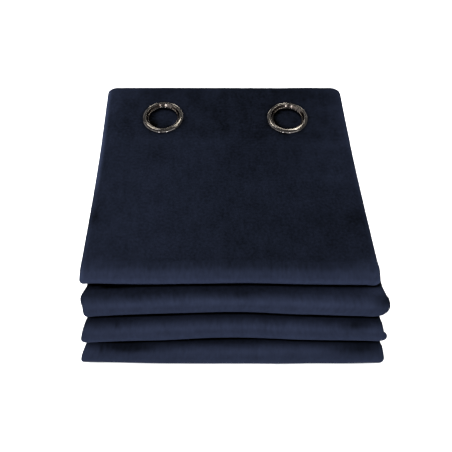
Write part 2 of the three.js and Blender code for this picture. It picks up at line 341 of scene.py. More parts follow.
class VelvetSettings(bpy.types.PropertyGroup):
    """Colours and nap of the velvet."""

    pile: FloatVectorProperty(
        name="Pile", description="Colour of the lying pile", subtype="COLOR", size=4,
        default=(0.00176, 0.00224, 0.00380, 1.0))
    brushed: FloatVectorProperty(
        name="Brushed pile", description="Colour of the pile that stands towards the light",
        subtype="COLOR", size=4, default=(0.0069, 0.0089, 0.0167, 1.0))
    sheen_tint: FloatVectorProperty(
        name="Sheen tint", description="Colour of the pile's edge sheen", subtype="COLOR", size=4,
        default=(0.42, 0.50, 0.80, 1.0))
    sheen: FloatProperty(
        name="Sheen", description="Strength of the edge sheen",
        default=0.03, min=0.0, max=1.0, subtype="FACTOR")
    sheen_roughness: FloatProperty(
        name="Sheen roughness", description="Spread of the edge sheen",
        default=0.35, min=0.0, max=1.0, subtype="FACTOR")
    mottle: FloatProperty(
        name="Mottle", description="Contrast of the nap's patches where the pile lies", default=1.25, min=0.0)
    raised_mottle: FloatProperty(
        name="Raised mottle", description="Extra contrast where the pile stands", default=0.85, min=0.0)
    heading_mottle: FloatProperty(
        name="Heading mottle", description="Extra patches on the stiffened heading", default=0.3, min=0.0)
    # The pressed rim round each eyelet darkens the pile: partly pile pressed flat, partly the ring's painted
    # shadow.
    pressed_and_shaded_rim: FloatProperty(
        name="Pressed rim", description="Width of the pile that the eyelets press flat",
        default=0.006, unit="LENGTH")
    pressed: FloatProperty(
        name="Pressing", description="How flat that pile lies",
        default=0.14, min=0.0, max=1.0, subtype="FACTOR")
    # Painted shade in the hollow of each eyelet: the ply seen through the bore is darkened away from its lit
    # side.
    hollow: FloatProperty(
        name="Hollow", description="Shade of the ply that shows in the eyelets", default=0.32, min=0.0)
    hollow_lit: FloatVectorProperty(
        name="Hollow's light", description="From an eyelet's middle to the lit side of its hollow", size=3,
        default=(0.007, 0.006, 0.0), subtype="TRANSLATION", unit="LENGTH")
    throat_rim: FloatProperty(
        name="Throat rim", description="How far under the eyelet the hollow's shade reaches",
        default=0.003, unit="LENGTH")
    tuft_height: FloatProperty(
        name="Tufts", description="Height of the pile's tufts", default=0.0006, unit="LENGTH")


class StageSettings(bpy.types.PropertyGroup):
    """Floor, lights and camera."""

    floor_side: FloatProperty(name="Floor", description="Side of the floor", default=8.0, unit="LENGTH")
    floor_colour: FloatVectorProperty(
        name="Floor colour", description="Colour of the floor", subtype="COLOR", size=4,
        default=(0.90, 0.90, 0.90, 1.0))
    surround: FloatProperty(name="Surround", description="Strength of the light from all sides", default=0.12)
    key_power: FloatProperty(
        name="Side lights", description="Power of each side softbox", default=13.0, unit="POWER")
    top_power: FloatProperty(
        name="Top light", description="Power of the light overhead", default=93.0, unit="POWER")
    front_power: FloatProperty(
        name="Front light", description="Power of the small light in front", default=6.2, unit="POWER")
    card_glow: FloatProperty(
        name="Cards", description="Brightness of the cards that the metal mirrors", default=3.0)
    focal_pixels: FloatProperty(
        name="Focal length", description="Focal length in pixels", default=460.0, subtype="PIXEL")
    pitch: FloatProperty(
        name="Pitch", description="How far the camera looks down",
        default=math.radians(55.26), subtype="ANGLE")
    camera_side: FloatProperty(
        name="Camera side", description="Camera's place across, from the top fold's middle",
        default=-0.0044, unit="LENGTH")
    camera_front: FloatProperty(
        name="Camera front", description="Camera's distance in front of the top fold",
        default=0.255, unit="LENGTH")
    camera_height: FloatProperty(
        name="Camera height", description="Camera's height above the top ply", default=0.447, unit="LENGTH")


def lerp(a, b, share):
    """A value between two others."""
    return a + (b - a) * share


def clamp(value, low, high):
    """A value held between two limits."""
    return min(max(value, low), high)


def smooth_step(value):
    """A soft rise from 0 to 1."""
    t = clamp(value, 0.0, 1.0)
    return t * t * (3.0 - 2.0 * t)


def curve_at(places, values, at):
    """A smooth curve through values that are given at rising places."""
    last = len(places) - 1
    if at <= places[0]:
        return values[0]
    if at >= places[last]:
        return values[last]

    def slope(j):
        low = max(j - 1, 0)
        high = min(j + 1, last)
        return (values[high] - values[low]) / (places[high] - places[low])

    i = max(j for j in range(last) if places[j] <= at)
    span = places[i + 1] - places[i]
    t = (at - places[i]) / span
    bend = slope(i) * t * (1 - t) ** 2 - slope(i + 1) * t * t * (1 - t)
    return lerp(values[i], values[i + 1], smooth_step(t)) + span * bend


def nap_and_shading_after(step, place):
    """How much of a nap step is taken at a place."""
    return step.nap * smooth_step((place - step.start) / (step.end - step.start))


class Column(NamedTuple):
    """A line along the cloth: its share of the width, its shift in a side turn, its offset in the stack."""

    share: float
    shift: float
    offset: float
    flat: float


class Row(NamedTuple):
    """A line across the cloth: the middle of its layer, the way its plies are stacked, the pack's sides."""

    y: float
    z: float
    out_y: float
    out_z: float
    left: float
    right: float
    bow_share: float
    layer: int
    fold: int
    turn: float
    flat: float
    corner: float = 0.0


class FoldedCloth:
    """The folding of the curtain: places any point of the flat cloth in the pack."""

    # Steps across the plies, crowded towards the sides, and round the side turns.
    top_steps = 104
    outer_steps = 10
    inner_steps = 6
    side_turn_steps = 8
    inner_turn_steps = 6
    crowding = 0.5
    # Rows along the layers and round the folds; a shelf is the flat behind a lower front fold.
    top_rows = 76
    run_rows = 8
    shelf_rows = 14
    shelf_depth = 0.022
    front_rows = 28
    back_rows = 10
    # Painted shade that darkens the flat in the crevice under the fold above.
    shade = 1.5
    shade_reach = 0.0080
    shade_ease = 0.0024
    shade_end = 0.014
    # The line where the heading's turned-over cloth ends.
    line_rise = 0.006
    line_slant = -0.03
    line_waver = 0.004
    waver_size = 0.03
    line_ease = 0.010
    # Slices of the noise that the line and the broad waves follow.
    waver_slice = 0.3
    wave_slice = 0.7

    def __init__(self, cloth):
        self.cloth = cloth
        self.pitch = cloth.ply_pitch
        self.bundle = PLIES * self.pitch
        self.radius = self.bundle / 2
        self.outer_ply = (PLIES - 1) / 2 * self.pitch
        self.left_inset = (self.pitch + cloth.thick) / 2
        self.right_inset = self.outer_ply + cloth.thick / 2
        self.turn_per_metre = math.degrees(1 / (self.radius + self.outer_ply))
        self.seam = HEADING.reach - cloth.heading_depth
        self.top = self.layer_height(1) + self.outer_ply + cloth.thick / 2
        band_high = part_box("heading_band")[1]
        ring_low, ring_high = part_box("eyelet_face_left")
        ring_x = (ring_low[0] + ring_high[0]) / 2
        self.origin = Vector((ring_x - EYELET_PLACES["left"][0], band_high[1] - HEADING.reach, 0.0))

    def layer_height(self, layer):
        """Height of the middle of a layer, counted from the top."""
        return self.cloth.thick / 2 + self.outer_ply + self.bundle * (LAYERS - layer)

    def columns(self):
        """Four plies joined by three side turns, from one hem to the other."""
        found = []

        def add(share, shift, offset, step):
            flat = found[-1].flat + step if found else 0.0
            found.append(Column(share, shift, offset, flat))

        def add_ply(offset, rightwards, steps):
            top = FRONT_FOLDS[0]
            width = top.left.crest + top.right.crest - self.left_inset - self.right_inset
            last = 0.0
            for i in range(steps + 1):
                even = i / steps
                share = lerp(even, (1 - math.cos(math.pi * even)) / 2, self.crowding)
                add(share if rightwards else 1 - share, 0.0, offset, (share - last) * width)
                last = share

        def add_turn(share, middle, radius, first, last, steps):
            for i in range(1, steps):
                angle = math.radians(lerp(first, last, i / steps))
                step = math.pi * radius / steps
                add(share, radius * math.cos(angle), middle + radius * math.sin(angle), step)

        half = self.pitch / 2
        add_ply(-self.outer_ply, True, self.outer_steps)
        add_turn(1, 0.0, self.outer_ply, -90, 90, self.side_turn_steps)
        add_ply(self.outer_ply, False, self.top_steps)
        add_turn(0, self.pitch, half, 90, 270, self.side_turn_steps)
        add_ply(half, True, self.inner_steps)
        add_turn(1, 0.0, half, 90, -90, self.inner_turn_steps)
        add_ply(-half, False, self.inner_steps)
        return found

    def sides(self, front, back, turn, share):
        """Where the pack's two sides lie at a turn round a front fold and a share of the way back."""
        left = curve_at(END_TURNS, front.left, turn)
        right = curve_at(END_TURNS, front.right, turn)
        return -lerp(left, back.left, share ** LEFT_EASE), lerp(right, back.right, share ** RIGHT_EASE)

    def run_row(self, layer, distance, flat):
        """A row on the flat of a layer, at a distance behind its front fold."""
        fold = (layer - 1) // 2
        front = FRONT_FOLDS[fold]
        back = BACK_ENDS[layer // 2]
        share = distance / (front.reach + back.reach)
        up = layer % 2 == 1
        turn = self.turn_per_metre * (self.cloth.crest - distance if up else distance) + (0 if up else 180)
        left, right = self.sides(front, back, turn, share)
        corner = smooth_step((distance - self.seam) / self.cloth.heading_depth) if layer == 1 else 0.0
        return Row(
            y=distance - front.reach, z=self.layer_height(layer), out_y=0.0, out_z=1.0 if up else -1.0,
            left=left, right=right, bow_share=1 - share,
            layer=layer, fold=fold, turn=turn, flat=flat, corner=corner)

    def front_row(self, layer, turn, flat):
        """A row on a front fold."""
        fold = (layer - 1) // 2
        front = FRONT_FOLDS[fold]
        angle = math.radians(turn)
        middle = (self.layer_height(layer) + self.layer_height(layer + 1)) / 2
        left, right = self.sides(front, HEADING, turn, 0.0)
        crest = self.cloth.crest * (1 - math.sin(angle)) if turn < 90 else 0.0
        return Row(
            y=crest - front.reach - self.radius * math.sin(angle), z=middle + self.radius * math.cos(angle),
            out_y=-math.sin(angle), out_z=math.cos(angle), left=left, right=right, bow_share=1.0,
            layer=layer, fold=fold, turn=turn, flat=flat)

    def back_row(self, layer, turn, flat):
        """A row on a back fold."""
        back = BACK_ENDS[layer // 2]
        angle = math.radians(turn)
        middle = (self.layer_height(layer) + self.layer_height(layer + 1)) / 2
        return Row(
            y=back.reach + self.radius * math.sin(angle), z=middle + self.radius * math.cos(angle),
            out_y=-math.sin(angle), out_z=-math.cos(angle), left=-back.left, right=back.right, bow_share=0.0,
            layer=layer, fold=AT_THE_BACK, turn=turn, flat=flat)

    def rows(self):
        """All rows, from the heading's edge to the bottom hem."""
        found = []
        flat = 0.0
        for layer in range(1, LAYERS + 1):
            front = FRONT_FOLDS[(layer - 1) // 2]
            length = front.reach + BACK_ENDS[layer // 2].reach
            down = layer % 2 == 1
            near = self.cloth.crest if down else 0.0
            if layer == 1:
                shares = [i / self.top_rows for i in range(self.top_rows + 1)]
            else:
                shares = [(i / self.run_rows) ** 2 for i in range(self.run_rows + 1)]
            distances = [lerp(near, length, share) for share in shares]
            if down and layer > 1:
                shelf = near + self.shelf_depth
                close = [lerp(near, shelf, i / self.shelf_rows) for i in range(self.shelf_rows)]
                distances = close + [lerp(shelf, length, share) for share in shares]
            if down:
                distances.reverse()
            start = distances[0]
            inner = distances[:-1] if layer < LAYERS else distances
            for distance in inner[1:] if layer > 1 else inner:
                found.append(self.run_row(layer, distance, flat + abs(distance - start)))
            flat += length
            if layer == LAYERS:
                break
            steps = self.front_rows if down else self.back_rows
            make = self.front_row if down else self.back_row
            for i in range(steps + 1):
                found.append(make(layer, 180 * i / steps, flat + math.pi * self.radius * i / steps))
            flat += math.pi * self.radius
        return found

    def heading_lift(self, y):
        """How far the heading's top ply stands above the level of the pack."""
        start = self.cloth.lift_start
        slope = self.cloth.heading_slope
        if y < start:
            return 0.0
        bend = self.seam - start
        if y < self.seam:
            return slope * (y - start) ** 2 / (2 * bend)
        return slope * (y - self.seam + bend / 2)

    def corner_cut(self, x, row):
        """How far a rounded corner draws the heading's edge in."""

        def cut(radius, distance):
            inside = clamp(radius - distance, 0.0, radius)
            return radius - math.sqrt(radius ** 2 - inside ** 2)

        return cut(self.cloth.left_corner, x - row.left) + cut(self.cloth.right_corner, row.right - x)

    def side_droop(self, x, row):
        """Share of its height that the pack loses towards its two sides."""
        near = min(x - row.left, row.right - x)
        inside = clamp(1 - near / self.cloth.shoulder, 0.0, 1.0)
        return self.cloth.droop * inside ** 2

    def relief(self, x, row):
        """Height of the waves, the heading's swell and the creases on the outermost ply."""
        wave = self.cloth.wave
        height = self.cloth.unevenness * noise.noise(Vector((x / wave, row.flat / wave, self.wave_slice)))
        if row.layer == 1 and row.turn <= 0:
            height += self.cloth.heading_swell * smooth_step(
                (row.y - self.heading_line(x)) / self.line_ease + 0.5)
        marks = MARKS.get(row.fold, ())
        return height - sum(mark.depth * self.mark_share(mark, x, row) for mark in marks if mark.depth)

    def heading_line(self, x):
        """Where the heading's turned-over cloth ends underneath: a soft wavering line that shows through."""
        waver = self.line_waver * noise.noise(Vector((x / self.waver_size, 0.0, self.waver_slice)))
        return self.seam + self.line_rise + self.line_slant * x + waver

    def mark_share(self, mark, x, row):
        """How much of a mark is felt at a place on its fold."""
        along = row.turn / self.turn_per_metre - mark.along
        across = x - mark.across
        slant = math.radians(mark.slant)
        wide = (across * math.cos(slant) + along * math.sin(slant)) / mark.wide
        deep = (along * math.cos(slant) - across * math.sin(slant)) / mark.deep
        return math.exp(-wide ** 2 - deep ** 2)

    def bow(self, fold, share):
        """How much further than its middle a front fold stands out at a share of its width."""
        return curve_at(BOW_SHARES, FRONT_FOLDS[fold].bow, share)

    def crevice(self, column, row, x):
        """How much painted shade a place on the flat takes in the crevice under the fold above: less at the
        pack's open sides.
        """
        above = row.fold - 1
        shaded = -FRONT_FOLDS[above].reach - self.bow(above, column.share) - self.shade_reach
        y = row.y - row.bow_share * self.bow(row.fold, column.share)
        inside = smooth_step(min(x - row.left, row.right - x) / self.shade_end)
        return self.shade * inside * smooth_step((y - shaded) / self.shade_ease + 1)

    def top_nap_and_shading(self, x, row):
        """How far the pile of the pack's top is brushed up: less on the heading, with painted light growing
        towards the left and painted sheen along both rims.
        """
        past_line = row.y - self.heading_line(x)
        across = sum(nap_and_shading_after(step, x) for step in PAINTED_LIGHT_ACROSS)
        heading = sum(nap_and_shading_after(step, past_line) for step in (HEADING_STEP, *SEAM_STEPS))
        left_sheen = nap_and_shading_after(PAINTED_LEFT_SHEEN, x - row.left) * (1 + nap_and_shading_after(PAINTED_LEFT_SHEEN_GAIN, row.y))
        right_sheen = nap_and_shading_after(PAINTED_RIGHT_SHEEN, row.right - x)
        return TOP_NAP + across + heading + left_sheen + right_sheen

    def nap(self, column, row, x):
        """How far the pile is brushed up, where it lies on the flat of the pack and stands on the front
        folds, with painted light on the fronts' lower lips and on the back turns, and painted shade close
        under each fold above.
        """
        if row.fold == AT_THE_BACK:
            return BACK_NAP + BACK_TURN_PAINTED_LIGHT * math.sin(math.radians(row.turn))
        rise = curve_at(NAP_TURNS, FOLD_NAPS_AND_LIGHT[row.fold], row.turn)
        marks = MARKS[row.fold]
        raised = sum(mark.nap * self.mark_share(mark, x, row) for mark in marks if mark.nap > 0)
        lying = sum(mark.nap * self.mark_share(mark, x, row) for mark in marks if mark.nap < 0)
        if row.fold == 0:
            return self.top_nap_and_shading(x, row) + rise + raised + lying
        shade = self.crevice(column, row, x) if row.turn < 0 else 0.0
        return LOWER_NAP * (1 + lying) + max(1 + lying, 0.0) * rise + raised - shade

    def point(self, column, row):
        """The middle of the cloth where a column crosses a row."""
        x = lerp(row.left + self.left_inset, row.right - self.right_inset, column.share) + column.shift
        bow = row.bow_share * self.bow(row.fold, column.share)
        ply = (column.offset + self.outer_ply) / (2 * self.outer_ply)
        out = column.offset + self.relief(x, row) * ply
        y = row.y + row.out_y * out - bow - row.corner * self.corner_cut(x, row)
        lift = self.heading_lift(y) * ply if row.layer == 1 and row.turn <= 0 else 0.0
        z = row.z + row.out_z * out + lift
        z *= 1 - self.side_droop(x, row)
        return self.origin + Vector((x, y, z))

    def eyelet_matrix(self, side):
        """Where an eyelet sits: on the top ply's face, tilted with the heading."""
        x, to_edge = EYELET_PLACES[side]
        y = HEADING.reach - to_edge
        tilt = math.atan(self.cloth.heading_slope)
        height = self.top + self.heading_lift(y)
        return Matrix.Translation(self.origin + Vector((x, y, height))) @ Matrix.Rotation(tilt, 4, "X")


class Field:
    """A socket of a finish; sums and products of fields add Math nodes."""

    def __init__(self, finish, socket):
        self.finish = finish
        self.socket = socket

    def maths(self, operation, first, second):
        """Adds a Math node."""
        return self.finish.node("ShaderNodeMath", {"operation": operation}, {0: first, 1: second})

    def __add__(self, other):
        return self.maths("ADD", self, other)

    def __sub__(self, other):
        return self.maths("SUBTRACT", self, other)

    def __rsub__(self, other):
        return self.maths("SUBTRACT", other, self)

    def __mul__(self, other):
        return self.maths("MULTIPLY", self, other)

    __radd__ = __add__
    __rmul__ = __mul__


class Finish:
    """A material made of nodes, with one Principled shader at its end."""

    def __init__(self, name):
        self.material = bpy.data.materials.new(name)
        self.material.use_nodes = True
        self.tree = self.material.node_tree
        self.shader = self.tree.nodes["Principled BSDF"]

    def node(self, kind, settings=None, inputs=None, output=0):
        """Adds a node: its settings first, then the values or links of its sockets."""
        made = self.tree.nodes.new(kind)
        for key, value in (settings or {}).items():
            setattr(made, key, value)
        for key, value in (inputs or {}).items():
            self.feed(made.inputs[key], value)
        return Field(self, made.outputs[output])

    def feed(self, socket, value):
        """Links a field to a socket, or sets the socket's own value."""
        if isinstance(value, Field):
            self.tree.links.new(value.socket, socket)
        else:
            socket.default_value = value

    def surface(self, **inputs):
        """Feeds the shader's sockets, named with underscores for spaces."""
        for name, value in inputs.items():
            self.feed(self.shader.inputs[name.replace("_", " ")], value)

    def place(self):
        """Where a point of the piece lies."""
        return self.node("ShaderNodeTexCoord", output="Object")

    def attribute(self, name):
        """A number that the points of the piece carry."""
        return self.node("ShaderNodeAttribute", {"attribute_name": name}, output="Fac")

    def mix(self, share, first, second, clamped=True):
        """A colour between two others, or past them where the share isn't clamped."""
        settings = {"data_type": "RGBA", "clamp_factor": clamped}
        return self.node("ShaderNodeMix", settings, {0: share, 6: first, 7: second}, 2)

    def noise(self, place, size, detail=2.0, roughness=0.5):
        """A soft noise with patches of a size."""
        inputs = {"Vector": place, "Scale": 1 / size, "Detail": detail, "Roughness": roughness}
        return self.node("ShaderNodeTexNoise", None, inputs)

    def bump(self, height, strength, distance):
        """A normal bent by a height."""
        inputs = {"Height": height, "Strength": strength, "Distance": distance}
        return self.node("ShaderNodeBump", None, inputs)

    def distance(self, first, second):
        """How far two places lie apart."""
        return self.node("ShaderNodeVectorMath", {"operation": "DISTANCE"}, {0: first, 1: second}, 1)

    def fade(self, value, start, end, first, last):
        """A soft change from one value to another between a start and an end."""
        settings = {"interpolation_type": "SMOOTHSTEP"}
        return self.node("ShaderNodeMapRange", settings, {0: value, 1: start, 2: end, 3: first, 4: last})


class Mottle(NamedTuple):
    """One size of the patches in the nap, and how much it counts."""

    size: float
    stretch: float
    detail: float
    roughness: float
    weight: float


MOTTLES = {
    "patches": Mottle(0.028, 1.0, 6.0, 0.66, 0.33),
    "strokes": Mottle(0.0093, 2.9, 3.0, 0.6, 0.2),
    "grain": Mottle(0.0033, 1.0, 1.0, 0.5, 0.34),
    "tufts": Mottle(0.0011, 1.0, 2.0, 0.6, 0.13),
}
NOISE_MIDDLE = 0.5
# Limits of the share between the pile colours: above one it runs past the brushed colour into painted light,
# below zero into painted shade.
NAP_LIMITS = (-0.4, 4.0)
HOLLOW_FADE = (1 / 3, 2 / 3)
PILE_ROUGHNESS = 0.95
TUFT_SHARE = 0.6
TUFT_BUMP = 0.35


def velvet_finish(velvet, folded, eyelets):
    """Short navy pile: brushed up on the folds, with painted light on their fronts and painted shade under
    them; pressed flat round the eyelets, with a painted shadow there and painted shade in their hollows; with
    patches and fine tufts.
    """
    finish = Finish("navy_velvet")
    place = finish.place()
    flat = finish.node("ShaderNodeUVMap", {"uv_map": "flat_cloth"})
    # This attribute carries the pile's lie together with painted light on the fold fronts and painted shade
    # under the folds.
    nap = finish.attribute("nap")
    noises = {}
    for name, mottle in MOTTLES.items():
        inputs = {"Vector": flat, "Scale": (1.0, 1 / mottle.stretch, 1.0)}
        stretched = finish.node("ShaderNodeMapping", None, inputs)
        noises[name] = finish.noise(stretched, mottle.size, mottle.detail, mottle.roughness)
    mixed = sum(noises[name] * mottle.weight for name, mottle in MOTTLES.items())
    along = finish.node("ShaderNodeSeparateXYZ", None, {0: flat}, "Y")
    seam = folded.cloth.heading_depth
    heading = finish.fade(along, seam - folded.line_ease, seam, velvet.heading_mottle, 0.0)
    share = nap + (mixed - NOISE_MIDDLE) * (nap * velvet.raised_mottle + velvet.mottle)
    share = share + (noises["patches"] - NOISE_MIDDLE) * heading
    throat = eyelets.bore / 2 + velvet.throat_rim
    flange = eyelets.outer / 2
    hollow_start, hollow_end = (part * eyelets.bore for part in HOLLOW_FADE)
    for side in EYELET_PLACES:
        centre = folded.eyelet_matrix(side).translation
        away = finish.distance(place, centre)
        outside = finish.node("ShaderNodeMath", {"operation": "GREATER_THAN"}, {0: away, 1: throat})
        # Round each flange the pile is darker: pressed flat, and a painted shadow of the ring.
        pressed = finish.fade(away, flange, flange + velvet.pressed_and_shaded_rim, velvet.pressed, 0.0)
        # Painted shade inside the bore, darker away from the lit side.
        from_lit = finish.distance(place, centre + Vector(velvet.hollow_lit))
        hollow = finish.fade(from_lit, hollow_start, hollow_end, 0.0, velvet.hollow)
        share = share - pressed * outside - hollow * (1 - outside)
    lowest, highest = NAP_LIMITS
    held = finish.node("ShaderNodeClamp", None, {0: share, 1: lowest, 2: highest})
    height = noises["tufts"] * TUFT_SHARE + noises["strokes"] * (1 - TUFT_SHARE)
    finish.surface(
        Base_Color=finish.mix(held, velvet.pile, velvet.brushed, clamped=False),
        Roughness=PILE_ROUGHNESS,
        Specular_IOR_Level=0.0,
        Sheen_Weight=velvet.sheen,
        Sheen_Roughness=velvet.sheen_roughness,
        Sheen_Tint=velvet.sheen_tint,
        Normal=finish.bump(height, TUFT_BUMP, velvet.tuft_height),
    )
    return finish.material


SMEAR_SIZE = 0.008
SMEAR_SHADE = 0.45
SMEAR_ROUGHNESS = 0.06
DENT_SIZE = 0.010
DENT_HEIGHT = 0.0008
DENT_BUMP = 0.03


def nickel_finish(eyelets):
    """Dark nickel, polished, with its outer rim worn bright and painted with a highlight, painted shade in
    its throat, and the faint smears of a pressed ring.
    """
    finish = Finish("polished_nickel")
    place = finish.place()
    burnish = finish.attribute("burnish")
    smears = finish.noise(place, SMEAR_SIZE)
    dents = finish.noise(place, DENT_SIZE, detail=1.0, roughness=0.4)
    share = burnish + (smears - NOISE_MIDDLE) * SMEAR_SHADE
    finish.surface(
        Base_Color=finish.mix(share, eyelets.metal, eyelets.rubbed_and_lit),
        Metallic=1.0,
        Roughness=smears * SMEAR_ROUGHNESS + eyelets.roughness,
        Normal=finish.bump(dents, DENT_BUMP, DENT_HEIGHT),
    )
    return finish.material


FLOOR_PATCH = 0.4
FLOOR_SHADE = 0.98
FLOOR_ROUGHNESS = 0.8


def floor_finish(stage):
    """A plain pale floor with a very faint mottle."""
    finish = Finish("pale_floor")
    place = finish.place()
    mottle = finish.noise(place, FLOOR_PATCH)
    shade = [FLOOR_SHADE * channel for channel in stage.floor_colour[:3]] + [1.0]
    finish.surface(Base_Color=finish.mix(mottle, shade, stage.floor_colour), Roughness=FLOOR_ROUGHNESS)
    return finish.material


def new_object(name, bm, material):
    """Turns a bmesh into a piece of the scene."""
    mesh = bpy.data.meshes.new(name)
    bm.to_mesh(mesh)
    bm.free()
    mesh.materials.append(material)
    mesh.shade_smooth()
    made = bpy.data.objects.new(name, mesh)
    bpy.context.scene.collection.objects.link(made)
    return made


def cut_eyelet_holes(bm, folded, eyelets, top_faces):
    """Opens a round hole in the top ply under each eyelet."""
    radius = eyelets.bore / 2 + eyelets.barrel_wall + eyelets.seat
    for side in EYELET_PLACES:
        centre = folded.eyelet_matrix(side).translation
        hole = {f for f in top_faces if f.is_valid and (f.calc_center_median() - centre).xy.length < radius}
        corners = {v for f in hole for v in f.verts}
        rim = [v for v in corners if any(f not in hole for f in v.link_faces)]
        bmesh.ops.delete(bm, geom=list(hole), context="FACES")
        for vert in rim:
            away = (vert.co - centre).xy
            vert.co.xy = centre.xy + away.normalized() * radius


class CURTAIN_OT_fold_cloth(bpy.types.Operator):
    """Cuts the velvet flat, folds it in quarters and then back and forth, and opens the eyelet holes"""

    bl_idname = "curtain.fold_cloth"
    bl_label = "Fold the velvet"

    def execute(self, context):
        scene = context.scene
        cloth = scene.curtain_cloth
        eyelets = scene.curtain_eyelets
        folded = FoldedCloth(cloth)
        columns = folded.columns()
        rows = folded.rows()
        bm = bmesh.new()
        bmesh.ops.create_grid(bm, x_segments=len(columns) - 1, y_segments=len(rows) - 1, size=1.0)
        uv = bm.loops.layers.uv.new("flat_cloth")
        nap = bm.verts.layers.float.new("nap")
        grid = {}
        for vert in bm.verts:
            i = round((vert.co.x + 1) / 2 * (len(columns) - 1))
            j = round((vert.co.y + 1) / 2 * (len(rows) - 1))
            grid[vert] = (columns[i], rows[j])
        top_faces = []
        for face in bm.faces:
            for loop in face.loops:
                column, row = grid[loop.vert]
                loop[uv].uv = (column.flat, row.flat)
            if all(grid[v][0].offset == folded.outer_ply and grid[v][1].layer == 1 for v in face.verts):
                top_faces.append(face)
        for vert, (column, row) in grid.items():
            vert.co = folded.point(column, row)
            # Each point carries how far its pile stands, with its painted light and shade.
            vert[nap] = folded.nap(column, row, vert.co.x - folded.origin.x)
        cut_eyelet_holes(bm, folded, eyelets, top_faces)
        piece = new_object("velvet_cloth", bm, velvet_finish(scene.curtain_velvet, folded, eyelets))
        solid = piece.modifiers.new("thickness", "SOLIDIFY")
        solid.thickness = cloth.thick
        solid.offset = 0.0
        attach(piece, "root")
        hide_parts("velvet_panel", "heading_band")
        return {"FINISHED"}


class RingPoint(NamedTuple):
    """A point of a ring's profile: radius, height over the cloth's face, how bright the metal is painted
    there: worn bright and painted with a highlight along the outer rim, painted shade in the throat.
    """

    radius: float
    height: float
    burnish: float


MERGE_DISTANCE = 1e-6


def ring_mesh(profile, sides, matrix):
    """A ring spun about Z from a closed profile."""
    bm = bmesh.new()
    burnish = bm.verts.layers.float.new("burnish")
    verts = []
    for point in profile:
        vert = bm.verts.new((point.radius, 0.0, point.height))
        vert[burnish] = point.burnish
        verts.append(vert)
    edges = [bm.edges.new((a, b)) for a, b in zip(verts, verts[1:] + verts[:1])]
    bmesh.ops.spin(bm, geom=verts + edges, cent=(0, 0, 0), axis=(0, 0, 1), angle=2 * math.pi, steps=sides,
                   use_merge=True)
    bmesh.ops.remove_doubles(bm, verts=bm.verts, dist=MERGE_DISTANCE)
    bmesh.ops.recalc_face_normals(bm, faces=bm.faces)
    bmesh.ops.transform(bm, matrix=matrix, verts=bm.verts)
    return bm


# How bright the parts of a ring are painted: shade in the throat, plain metal, and a highlight along the
# outer rim that is partly wear and partly painted light.
THROAT_SHADE = 0.06
PLAIN = 0.42
RIM_HIGHLIGHT = 0.85
RIM_SHARE = 1 / 3
EDGE_EASE = 0.0002
DOME_STEPS = 20
CROWN_STEPS = 10
WALL_SHARES = (0.12, 0.5, 0.88)
BEAD_STEPS = 12
BEAD_START = math.radians(60)
BEAD_TOP = math.radians(90)
BEAD_INSIDE = math.radians(120)


def face_profile(eyelets):
    """The eyelet's face: barrel foot, flange, dome, crown edge, the throat's leaning wall, a rolled bead."""
    bore = eyelets.bore / 2
    outer = eyelets.outer / 2
    seat = eyelets.seat
    barrel = bore + eyelets.barrel_wall
    foot = -eyelets.barrel_depth
    crown = eyelets.crown_diameter / 2
    top = seat + eyelets.crown
    rim = seat + eyelets.rim
    profile = [
        RingPoint(bore + EDGE_EASE, foot, PLAIN),
        RingPoint(barrel - EDGE_EASE, foot, PLAIN),
        RingPoint(barrel, foot + EDGE_EASE, PLAIN),
        RingPoint(barrel, seat, PLAIN),
        RingPoint(outer - EDGE_EASE, seat, PLAIN),
    ]
    for i in range(DOME_STEPS + 1):
        angle = math.pi / 2 * i / DOME_STEPS
        radius = lerp(crown, outer, math.cos(angle))
        height = lerp(rim, top, math.sin(angle))
        inward = smooth_step(i / DOME_STEPS / RIM_SHARE)
        profile.append(RingPoint(radius, height, lerp(RIM_HIGHLIGHT, PLAIN, inward)))
    edge = eyelets.crown_edge
    for i in range(1, CROWN_STEPS + 1):
        angle = (math.pi / 2 - eyelets.throat_lean) * i / CROWN_STEPS
        radius = crown - edge * math.sin(angle)
        height = top - edge + edge * math.cos(angle)
        profile.append(RingPoint(radius, height, lerp(PLAIN, THROAT_SHADE, i / CROWN_STEPS)))
    bead = eyelets.bead
    brow = profile[-1]
    joint = bore + bead + bead * math.cos(BEAD_START)
    joint_height = brow.height - (brow.radius - joint) / math.tan(eyelets.throat_lean)
    for share in WALL_SHARES:
        radius = lerp(brow.radius, joint, share)
        height = lerp(brow.height, joint_height, share)
        profile.append(RingPoint(radius, height, THROAT_SHADE))
    middle = joint_height - bead * math.sin(BEAD_START)
    for i in range(BEAD_STEPS + 1):
        angle = lerp(BEAD_START, math.pi, i / BEAD_STEPS)
        radius = bore + bead + bead * math.cos(angle)
        height = middle + bead * math.sin(angle)
        inward = smooth_step((angle - BEAD_TOP) / (BEAD_INSIDE - BEAD_TOP))
        profile.append(RingPoint(radius, height, lerp(THROAT_SHADE, PLAIN, inward)))
    profile.append(RingPoint(bore, foot + EDGE_EASE, THROAT_SHADE))
    return profile


def back_profile(eyelets, thick):
    """The flat ring behind the cloth, with an eased foot."""
    inner = eyelets.bore / 2 + eyelets.barrel_wall + eyelets.seat
    outer = eyelets.back_outer / 2
    top = -thick - eyelets.seat
    foot = top - eyelets.back_thick
    ease = eyelets.back_ease
    return [
        RingPoint(inner, foot + ease, PLAIN),
        RingPoint(inner + ease, foot, PLAIN),
        RingPoint(outer - ease, foot, PLAIN),
        RingPoint(outer, foot + ease, PLAIN),
        RingPoint(outer, top, PLAIN),
        RingPoint(inner, top, PLAIN),
    ]


